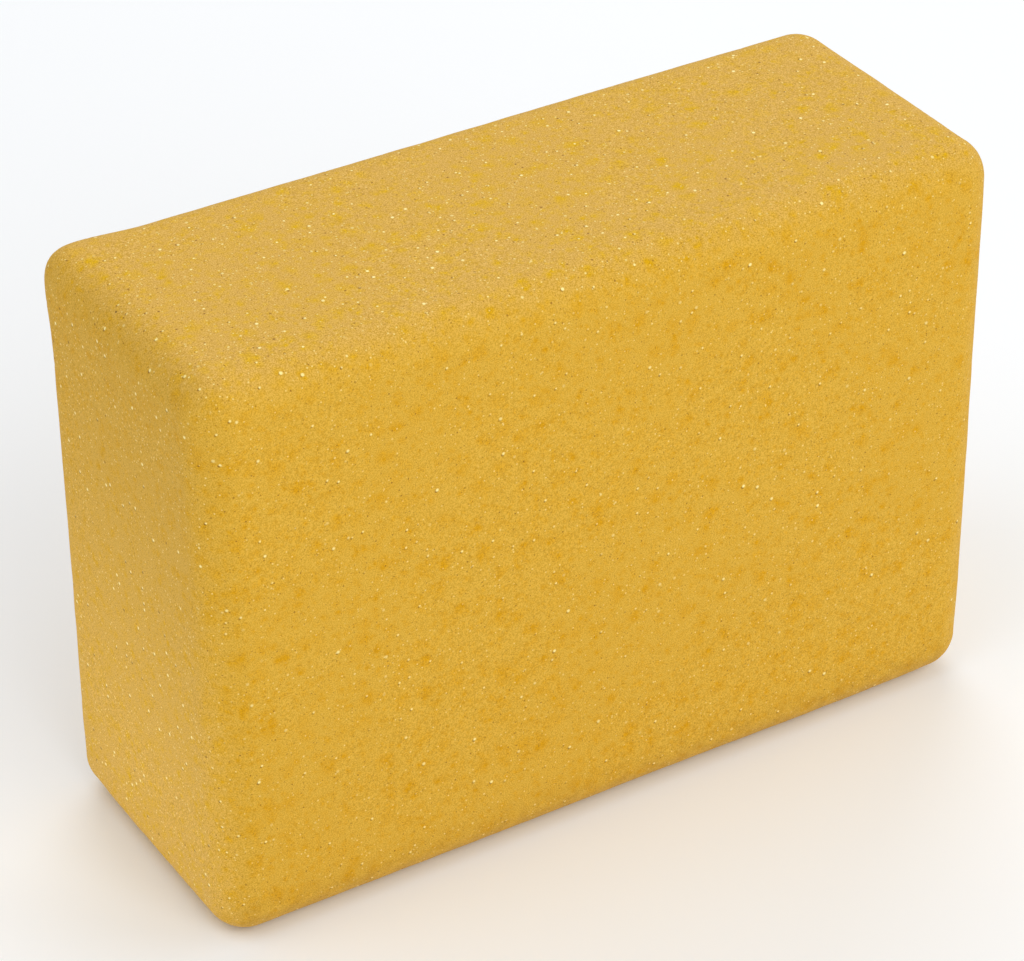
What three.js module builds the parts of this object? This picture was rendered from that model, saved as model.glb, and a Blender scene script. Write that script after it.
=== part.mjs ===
// Foam sponge: one block of open-cell foam with softly rounded edges and corners.
//
// Units are millimetres and +Z is up. The block stands on one of its long narrow sides, with its
// broad faces upright. The origin is the centre of the side it stands on, +X runs along the length
// and +Y through the thickness, towards the back broad face.

import * as THREE from "three";
import { RoundedBoxGeometry } from "three/addons/geometries/RoundedBoxGeometry.js";

// Driving dimensions.
const LENGTH = 190; // along X, the long side
const THICKNESS = 72; // along Y, between the two broad faces
const HEIGHT = 135; // along Z, from the resting side to the top side
const EDGE_RADIUS = 9; // the same on all twelve edges, and on the eight corners
const ARC_SEGMENTS = 4; // facets in each half of an edge's quarter round

const FOAM_YELLOW = 0xd8ad46;

// Foam scatters light softly: fully rough, and not metal.
function foamMaterial() {
  return new THREE.MeshStandardMaterial({
    color: FOAM_YELLOW,
    roughness: 0.95,
    metalness: 0,
  });
}

// The whole sponge, lifted so that it rests on Z = 0.
function foamBlock() {
  const geometry = new RoundedBoxGeometry(LENGTH, THICKNESS, HEIGHT, ARC_SEGMENTS, EDGE_RADIUS);
  const block = new THREE.Mesh(geometry, foamMaterial());
  block.name = "foam_block";
  block.position.z = HEIGHT / 2;
  return block;
}

const group = new THREE.Group();
group.add(foamBlock());

export default group;
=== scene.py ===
"""Foam sponge: one block of open-cell foam with pitted, softly rounded faces, on a pale floor.

The block is a dense rounded box. Its pits are real hollows in the mesh, each one the lower part of a
gas bubble that the cut surface opened. The fine cells between them are too small for the mesh, so
the foam material makes them from its bump, colour and roughness.
"""

import math

import bpy
import numpy as np
from mathutils import Matrix, Vector
from mathutils.kdtree import KDTree


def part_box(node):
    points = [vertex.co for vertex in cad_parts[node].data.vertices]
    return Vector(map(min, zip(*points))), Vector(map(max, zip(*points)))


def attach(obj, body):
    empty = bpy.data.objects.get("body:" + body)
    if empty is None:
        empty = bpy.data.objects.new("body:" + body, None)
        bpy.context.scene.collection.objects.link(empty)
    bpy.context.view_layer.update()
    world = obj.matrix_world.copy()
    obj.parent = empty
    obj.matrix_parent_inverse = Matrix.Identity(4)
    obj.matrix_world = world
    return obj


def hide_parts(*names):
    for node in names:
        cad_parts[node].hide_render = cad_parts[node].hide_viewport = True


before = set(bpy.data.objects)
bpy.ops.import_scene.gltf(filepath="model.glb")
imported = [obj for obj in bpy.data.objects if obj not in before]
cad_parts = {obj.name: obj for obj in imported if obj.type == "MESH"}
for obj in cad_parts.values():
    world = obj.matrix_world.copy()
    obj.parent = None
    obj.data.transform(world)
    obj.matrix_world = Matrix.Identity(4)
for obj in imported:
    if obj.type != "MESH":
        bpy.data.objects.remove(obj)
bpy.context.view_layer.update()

MM = 0.001

# The block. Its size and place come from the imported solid.
EDGE_RADIUS = 9 * MM
# The edges are round, with power 2. Some corners are fuller or flatter, with this much added to the
# power. A corner is named by its side along x, y and z: left, front and bottom are -1.
CORNERS = {(-1, 1, 1): 0.75, (-1, 1, -1): -0.15, (1, -1, -1): -0.15}
CORNER_REACH = 8 * MM  # how far along the edges a corner's own shape fades out
WAIST = 0.2 * MM  # how far the two ends draw in at half their height
MESH_STEP = 0.6 * MM  # the distance between neighbouring vertices
SEED = 11

# The pits come in clusters of overlapping bubbles: (clusters, bubbles in each, smallest and largest
# bubble radius, how far the bubbles lie from the cluster's middle).
PITS = ((7000, 3, 1.2 * MM, 2.2 * MM, 1.8 * MM), (500, 4, 2.0 * MM, 3.2 * MM, 2.6 * MM))
PIT_CENTRE = (0.94, 0.99)  # a bubble's centre stands this share of its radius above the surface
FULL_DEPTH = 0.2 * MM  # a pit this deep has the pits' full colour
# The faces are a little uneven: (length of the waves, how many there are, how deep they go).
UNEVENNESS = ((60 * MM, 12, 0.25 * MM), (9 * MM, 24, 0.08 * MM))

# The room: a large white floor and soft even light from all around.
FLOOR_REACH = 3.0
FLOOR_COLOUR = (0.94, 0.96, 0.98, 1.0)
FLOOR_ROUGHNESS = 0.9
ROOM_LIGHT = 0.5

# The camera: a long lens, above the sponge and to its left.
CAMERA_AZIMUTH = -31.15
CAMERA_ELEVATION = 33.43
CAMERA_ROLL = -0.48
CAMERA_DISTANCE = 0.854
CAMERA_LENS = 140.6
CAMERA_AIM = (-0.004, 0.0, 0.0656)

# The soft lamps: (name, azimuth, elevation, watts), and a small one low and near the left end:
# (place, what it points at, size, watts).
LAMP_DISTANCE = 1.6
LAMP_SIZE = 1.2
LAMPS = (("front", 0, 35, 8.8), ("right", 60, 30, 4.8), ("back", 150, 40, 7.0), ("left", -90, 60, 4.8))
LOW_LAMP = ((-0.19, 0.0, 0.012), (-0.095, 0.0, 0.015), 0.06, 0.032)


def add_object(name, data):
    """A new object in the scene, made of that mesh, lamp or camera."""
    made = bpy.data.objects.new(name, data)
    bpy.context.scene.collection.objects.link(made)
    return made


# ---------------------------------------------------------------------------------------------
# The block's shape
# ---------------------------------------------------------------------------------------------


def lattice(counts):
    """The surface points of a box of counts cells, as whole-number (i, j, k), and its quads."""
    points, quads, start = [], [], 0
    for axis in range(3):
        u, v = (axis + 1) % 3, (axis + 2) % 3
        nu, nv = counts[u] + 1, counts[v] + 1
        grid_u, grid_v = np.meshgrid(np.arange(nu), np.arange(nv), indexing="ij")
        corner = (np.arange(nu - 1)[:, None] * nv + np.arange(nv - 1)[None, :]).ravel()
        ring = np.stack([corner, corner + nv, corner + nv + 1, corner + 1], axis=1)
        for level in (0, counts[axis]):
            side = np.empty((nu * nv, 3), int)
            side[:, axis] = level
            side[:, u] = grid_u.ravel()
            side[:, v] = grid_v.ravel()
            points.append(side)
            quads.append(start + (ring if level else ring[:, ::-1]))
            start += len(side)
    merged, index = np.unique(np.concatenate(points), axis=0, return_inverse=True)
    return merged, index.reshape(-1)[np.concatenate(quads)]


def rounded_box(low, high, step):
    """Points, outward normals and quads of a box with rounded edges, about step apart."""
    flat = (high - low) / 2 - EDGE_RADIUS
    reach = flat + EDGE_RADIUS * math.pi / 4  # from a side's middle to the middle of its edge's arc
    counts = np.ceil(2 * reach / step).astype(int)
    cells, quads = lattice(counts)
    along = (2 * cells / counts - 1) * reach
    core = np.clip(along, -flat, flat)
    normals = np.tan((along - core) / EDGE_RADIUS)  # 1 at the middle of an arc, from both its sides
    normals /= np.linalg.norm(normals, axis=1, keepdims=True)
    power = roundness(core, flat)
    size = np.sum(np.abs(normals) ** power, axis=1, keepdims=True) ** (1 / power)
    return (low + high) / 2 + core + EDGE_RADIUS * normals / size, normals, quads


def roundness(core, flat):
    """The power that shapes the edges: 2 for a circle, more for a fuller curve."""
    power = np.full((len(core), 1), 2.0)
    for signs, extra in CORNERS.items():
        distance = np.linalg.norm(core - flat * signs, axis=1, keepdims=True)
        power += extra * np.exp(-((distance / CORNER_REACH) ** 2))
    return power


def waves(points, length, count, rng):
    """Smooth random unevenness from 0 to 1, the sum of count waves of that length."""
    total = np.zeros(len(points))
    for _ in range(count):
        direction = rng.normal(size=3)
        direction *= 2 * math.pi / (length * np.linalg.norm(direction))
        total += np.cos(points @ direction + rng.uniform(0, 2 * math.pi))
    return np.clip(0.5 + total / (2 * math.sqrt(2 * count)), 0, 1)


def pit_depths(points, normals, rng):
    """How deep the open bubbles cut into the surface at each point."""
    tree = KDTree(len(points))
    for i, p in enumerate(points):
        tree.insert(p, i)
    tree.balance()
    depths = np.zeros(len(points))
    for clusters, bubbles, smallest, largest, spread in PITS:
        for _ in range(clusters):
            near = tree.find_range(points[rng.integers(len(points))], spread)
            for pick in rng.integers(len(near), size=bubbles):
                _, at, _ = near[pick]
                radius = rng.uniform(smallest, largest)
                centre = points[at] + normals[at] * radius * rng.uniform(*PIT_CENTRE)
                cut_bubble(depths, points, normals, tree, centre, radius)
    return depths


def cut_bubble(depths, points, normals, tree, centre, radius):
    """Deepens depths to where a ball of that centre and radius reaches below the surface."""
    inside = [i for _, i, _ in tree.find_range(centre, radius)]
    offset = points[inside] - centre
    above = np.einsum("ij,ij->i", offset, normals[inside])
    cut = above + np.sqrt(above**2 + radius**2 - np.einsum("ij,ij->i", offset, offset))
    depths[inside] = np.maximum(depths[inside], cut)


def foam_mesh():
    """The block's mesh, with the attributes that its material reads.

    Pit is 1 in deep pits and 0 between them. Broad is 1 on the two broad faces. Rich is 1 where the
    yellow is deepest, which is there and at the top of the ends. It falls to 0 at the ends' foot, and
    is 0 on the top and underside. Where rich is low the material paints a paler colour, a painted sheen
    for the haze of grazing light.
    """
    rng = np.random.default_rng(SEED)
    low, high = (np.array(corner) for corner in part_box("foam_block"))
    points, normals, quads = rounded_box(low, high, MESH_STEP)
    depths = pit_depths(points, normals, rng)
    uneven = sum(deep * waves(points, length, count, rng) for length, count, deep in UNEVENNESS)
    up = (points[:, 2] - low[2]) / (high[2] - low[2])
    waist = WAIST * np.sin(math.pi * up) ** 2 * np.abs(normals[:, 0])
    points = points - normals * (depths + uneven + waist)[:, None]

    mesh = bpy.data.meshes.new("foam")
    mesh.from_pydata(points.tolist(), [], quads.tolist())
    mesh.shade_smooth()
    broad = normals[:, 1] ** 2
    # Where rich is low the material paints a sheen: a paler colour for the haze of grazing light.
    rich = broad + up * normals[:, 0] ** 2
    values = {"pit": np.clip(depths / FULL_DEPTH, 0, 1), "broad": broad, "rich": rich}
    for name, value in values.items():
        attribute = mesh.attributes.new(name, "FLOAT", "POINT")
        attribute.data.foreach_set("value", value.astype(np.float32))
    return mesh


# ---------------------------------------------------------------------------------------------
# The foam's material
# ---------------------------------------------------------------------------------------------


class Nodes:
    """Adds nodes to a material by short calls that give back an output socket.

    All lengths that these calls take are in millimetres.
    """

    def __init__(self, material):
        material.use_nodes = True
        self.tree = material.node_tree
        self.shader = self.tree.nodes["Principled BSDF"]

    def add(self, kind, inputs=(), output=0, **settings):
        """A new node's output socket. Inputs gives a value or a socket for each of its named inputs."""
        node = self.tree.nodes.new(kind)
        for name, value in settings.items():
            setattr(node, name, value)
        for key, value in dict(inputs).items():
            self.put(node.inputs[key], value)
        return node.outputs[output]

    def put(self, socket, value):
        """Links an input socket to value where that is a socket, and sets it to value otherwise."""
        if isinstance(value, bpy.types.NodeSocket):
            self.tree.links.new(value, socket)
        else:
            socket.default_value = value

    def attribute(self, name):
        return self.add("ShaderNodeAttribute", output="Fac", attribute_name=name)

    def math(self, operation, a, b=0.0):
        return self.add("ShaderNodeMath", {0: a, 1: b}, operation=operation)

    def ramp(self, value, start, end, low=0.0, high=1.0):
        """low up to start, high from end on, and smooth between. Start may be above end."""
        inputs = {"Value": value, "From Min": start, "From Max": end, "To Min": low, "To Max": high}
        return self.add("ShaderNodeMapRange", inputs, interpolation_type="SMOOTHSTEP")

    def mix(self, share, a, b, blend="MIX"):
        """Colour a turned into colour b by share, or a blended with b where blend says so."""
        inputs = {"Factor": share, 6: a, 7: b}  # a Mix node has its colours there, and gives one at 2
        return self.add("ShaderNodeMix", inputs, 2, data_type="RGBA", blend_type=blend)

    def noise(self, place, size, low=0.0, high=1.0):
        """Smooth random patches of that size, between low and high."""
        inputs = {"Vector": place, "Scale": 1 / size, "Detail": 0.0}
        return self.ramp(self.add("ShaderNodeTexNoise", inputs), *NOISE_SPAN, low, high)

    def spots(self, place, apart, radius, most, rare=0.0, lift=0.0, soft=0.6):
        """Round spots at random places, each of its own strength from 0 to most.

        Only spots whose random draw from 0 to 1, plus lift, is above rare show at all. Soft is the
        share of a spot's radius over which it fades out.
        """
        spot = self.add("ShaderNodeTexVoronoi", {"Vector": place, "Scale": 1 / apart}).node.outputs
        random = self.add("ShaderNodeSeparateColor", {"Color": spot["Color"]}, "Red")
        draw = self.math("ADD", random, lift)
        edge = radius / apart
        shape = self.ramp(spot["Distance"], edge, (1 - soft) * edge)
        return self.math("MULTIPLY", shape, self.ramp(draw, rare, FULL_DRAW, 0.0, most))


def linear(hex_colour):
    """A colour written as 0xRRGGBB, as linear red, green, blue and alpha."""
    channels = [(hex_colour >> shift & 255) / 255 for shift in (16, 8, 0)]
    return [c / 12.92 if c <= 0.04045 else ((c + 0.055) / 1.055) ** 2.4 for c in channels] + [1.0]


# The surface, and the colour of its pits and mottles, where rich is 1 and where it is 0. The pale ones
# are a painted sheen for the haze that grazing light gives the top, the underside and the foot of the
# ends. The pits and mottles show less of that painted sheen.
RICH = linear(0xD6A838)
RICH_PIT = linear(0xD39A02)
PALE_SHEEN = linear(0xD5A94E)
PALE_SHEEN_PIT = linear(0xD8A900)
# Painted highlight: the colour of the glints.
GLINT_CREAM = linear(0xFFEE9C)  # a cell window that catches the light
SHADE = linear(0x8A5A14)  # an open cell in shade
# Painted shade: the colour of the few deepest cells.
DEEP_CELL_SHADE = linear(0x38220A)  # the few deepest cells

# All lengths in the material are in millimetres.
# The fine cells: their size, how they darken and lighten red, green and blue, and how much of that
# shows where rich is 1, without painted sheen.
GRAIN_SIZE = 0.26
GRAIN = ((0.84, 0.8, 0.5, 1.0), (1.16, 1.2, 1.5, 1.0))
RICH_GRAIN = 0.75
NOISE_SPAN = (0.25, 0.75)  # the values that a noise texture seldom leaves
CELL_SIZE, CELL_DEPTH, CELL_STRENGTH = 0.55, 0.12, 0.4  # of the bump

# The shader: dull foam, glossier at the painted glints, a weak reflection and a trace of sheen.
FOAM_ROUGHNESS, WINDOW_ROUGHNESS = 0.9, 0.35
SPECULAR = 0.2
SHEEN, SHEEN_ROUGHNESS = 0.05, 0.5

# Spots at random places: (how far apart, radius, greatest strength).
MOTTLES = ((1.3, 0.9, 0.5), (2.2, 1.5, 0.6), (4.6, 3.1, 0.7))
PORES = ((0.85, 0.22, 0.6), (1.9, 0.26, 0.9))
# The glints are painted highlights, pale spots in the colour, where the surface is also glossier.
GLINTS = ((1.1, 0.25, 0.6), (2.5, 0.36, 0.9), (3.9, 0.5, 1.0))
SHADE_SPECKS = (8.3, 0.4, 1.0)
FULL_DRAW = 1.1  # the random draw, plus any lift, at which a spot has its greatest strength
RARE_GLINT, RARE_SHADOW, RARE_SHADE_SPECK = 0.3, 0.5, 0.75
# The narrow sides get more and brighter painted glints, and more painted shade beside the large ones.
SIDE_LIFT = 0.3  # the narrow sides have more and brighter windows
GLINT_SHADOW = (0.25, -0.1, 0.25)  # from a large window's shaded side to its bright middle
SHADOW_STRENGTH = 0.8

# The broad faces get painted shade near their foot, in patches of this size, up to this height. At the
# very foot the least and most shaded patches are darkened by these shares.
FOOT_SHADE_PATCH, FOOT_SHADE_HEIGHT = 3.0, 16.0
FOOT_SHADE_LEAST, FOOT_SHADE_MOST = 0.108, 0.36


def body_colour(n, place, broad, rich):
    """The foam's colour, deeper in the pits and in soft mottles. It is paler with painted sheen where
    rich is low, and darker with painted shade at the foot.
    """
    depth = n.attribute("pit")
    for apart, radius, most in MOTTLES:
        depth = n.math("ADD", depth, n.spots(place, apart, radius, most, soft=1.0))
    # Painted sheen: where rich is low the colours turn to the pale ones.
    colour = n.mix(depth, n.mix(rich, PALE_SHEEN, RICH), n.mix(rich, PALE_SHEEN_PIT, RICH_PIT))
    height = n.add("ShaderNodeSeparateXYZ", {"Vector": place}, "Z")
    # Painted shade: darker towards the foot of the broad faces, in patches.
    foot_shade = n.math("MULTIPLY", n.ramp(height, FOOT_SHADE_HEIGHT, 0.0), broad)
    patches = n.noise(place, FOOT_SHADE_PATCH, FOOT_SHADE_LEAST, FOOT_SHADE_MOST)
    return n.mix(n.math("MULTIPLY", foot_shade, patches), colour, SHADE)


def fine_cells(n, place, rich, colour):
    """The colour with the grain of the smallest cells."""
    grain = n.mix(n.noise(place, GRAIN_SIZE), *GRAIN)
    return n.mix(n.ramp(rich, 0.0, 1.0, 1.0, RICH_GRAIN), colour, grain, "MULTIPLY")


def shaded_cells(n, place, lift, colour):
    """The colour with painted shade: open cells in shade, the large glints' shaded sides and a few
    near-black specks in the deepest cells.
    """
    for apart, radius, most in PORES:
        colour = n.mix(n.spots(place, apart, radius, most), colour, SHADE)
    shifted = n.add("ShaderNodeVectorMath", {0: place, 1: GLINT_SHADOW}, operation="ADD")
    for apart, radius, _ in GLINTS[1:]:
        shadow = n.spots(shifted, apart, radius, SHADOW_STRENGTH, RARE_SHADOW, lift)
        colour = n.mix(shadow, colour, SHADE)
    # Painted shade in the deepest cells: a few near-black specks.
    return n.mix(n.spots(place, *SHADE_SPECKS, RARE_SHADE_SPECK), colour, DEEP_CELL_SHADE)


def painted_glints(n, place, lift):
    """How strongly the painted highlights, cell windows that catch the light, show at each place."""
    brightest = 0.0
    for apart, radius, most in GLINTS:
        spots = n.spots(place, apart, radius, most, RARE_GLINT, lift)
        brightest = n.math("MAXIMUM", brightest, spots)
    return brightest


def foam_material():
    """Yellow foam, from its body colour down to its finest cells."""
    material = bpy.data.materials.new("foam_yellow")
    n = Nodes(material)
    metres = n.add("ShaderNodeTexCoord", output="Object")
    place = n.add("ShaderNodeVectorMath", {0: metres, "Scale": 1 / MM}, operation="SCALE")
    rich = n.attribute("rich")
    broad = n.attribute("broad")
    lift = n.ramp(broad, 0.0, 1.0, SIDE_LIFT, 0.0)

    colour = body_colour(n, place, broad, rich)
    colour = fine_cells(n, place, rich, colour)
    colour = shaded_cells(n, place, lift, colour)
    glint_share = painted_glints(n, place, lift)
    cells = n.add("ShaderNodeTexVoronoi", {"Vector": place, "Scale": 1 / CELL_SIZE})
    relief = {"Strength": CELL_STRENGTH, "Distance": CELL_DEPTH * MM, "Height": cells}
    bump = n.add("ShaderNodeBump", relief)

    # Painted highlights: the glints turn the colour to cream.
    n.put(n.shader.inputs["Base Color"], n.mix(glint_share, colour, GLINT_CREAM))
    n.put(n.shader.inputs["Normal"], bump)
    roughness = n.ramp(glint_share, 0.0, 1.0, FOAM_ROUGHNESS, WINDOW_ROUGHNESS)
    n.put(n.shader.inputs["Roughness"], roughness)
    n.put(n.shader.inputs["Specular IOR Level"], SPECULAR)
    n.put(n.shader.inputs["Sheen Weight"], SHEEN)
    n.put(n.shader.inputs["Sheen Roughness"], SHEEN_ROUGHNESS)
    return material


def foam_block():
    """The one visible piece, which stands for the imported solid."""
    block = add_object("foam_sponge", foam_mesh())
    block.data.materials.append(foam_material())
    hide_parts("foam_block")
    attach(block, "root")
    return block


# ---------------------------------------------------------------------------------------------
# Floor, light and camera
# ---------------------------------------------------------------------------------------------


def direction(azimuth, elevation):
    """The unit vector towards a viewer or lamp, from angles in degrees. Azimuth 0 is the front."""
    a, e = math.radians(azimuth), math.radians(elevation)
    return Vector((math.sin(a) * math.cos(e), -math.cos(a) * math.cos(e), math.sin(e)))


def floor():
    mesh = bpy.data.meshes.new("floor")
    corners = [(x * FLOOR_REACH, y * FLOOR_REACH, 0) for x, y in ((-1, -1), (1, -1), (1, 1), (-1, 1))]
    mesh.from_pydata(corners, [], [(0, 1, 2, 3)])
    plane = add_object("floor", mesh)
    material = bpy.data.materials.new("floor_white")
    n = Nodes(material)
    n.put(n.shader.inputs["Base Color"], FLOOR_COLOUR)
    n.put(n.shader.inputs["Roughness"], FLOOR_ROUGHNESS)
    mesh.materials.append(material)


def lamp(name, place, target, size, power):
    """A round soft lamp that the camera doesn't see."""
    data = bpy.data.lights.new(name, "AREA")
    data.shape = "DISK"
    data.size = size
    data.energy = power
    light = add_object(name, data)
    light.location = place
    light.rotation_euler = (Vector(place) - Vector(target)).to_track_quat("Z", "Y").to_euler()
    light.visible_camera = False
    return light


def light_room(sponge):
    """Even light from the room, the soft lamps around it, and the small lamp for the left end."""
    world = bpy.data.worlds.new("studio")
    world.use_nodes = True
    background = world.node_tree.nodes["Background"]
    background.inputs["Color"].default_value = (1.0, 1.0, 1.0, 1.0)
    background.inputs["Strength"].default_value = ROOM_LIGHT
    bpy.context.scene.world = world
    middle = Vector(CAMERA_AIM)
    for name, azimuth, elevation, power in LAMPS:
        lamp(name, middle + direction(azimuth, elevation) * LAMP_DISTANCE, middle, LAMP_SIZE, power)
    # The low lamp lights the sponge only, so it leaves no bright pool on the floor.
    low_lamp = lamp("low_left", *LOW_LAMP)
    lit = bpy.data.collections.new("lit_by_low_lamp")
    lit.objects.link(sponge)
    low_lamp.light_linking.receiver_collection = lit


def camera():
    data = bpy.data.cameras.new("camera")
    data.lens = CAMERA_LENS
    data.clip_start = 0.01
    view = add_object("camera", data)
    towards = direction(CAMERA_AZIMUTH, CAMERA_ELEVATION)
    turn = towards.to_track_quat("Z", "Y").to_matrix().to_4x4()
    roll = Matrix.Rotation(math.radians(CAMERA_ROLL), 4, "Z")
    place = Matrix.Translation(Vector(CAMERA_AIM) + towards * CAMERA_DISTANCE)
    view.matrix_world = place @ turn @ roll
    bpy.context.scene.camera = view


foam = foam_block()
floor()
light_room(foam)
camera()
bpy.context.scene.view_settings.view_transform = "Standard"
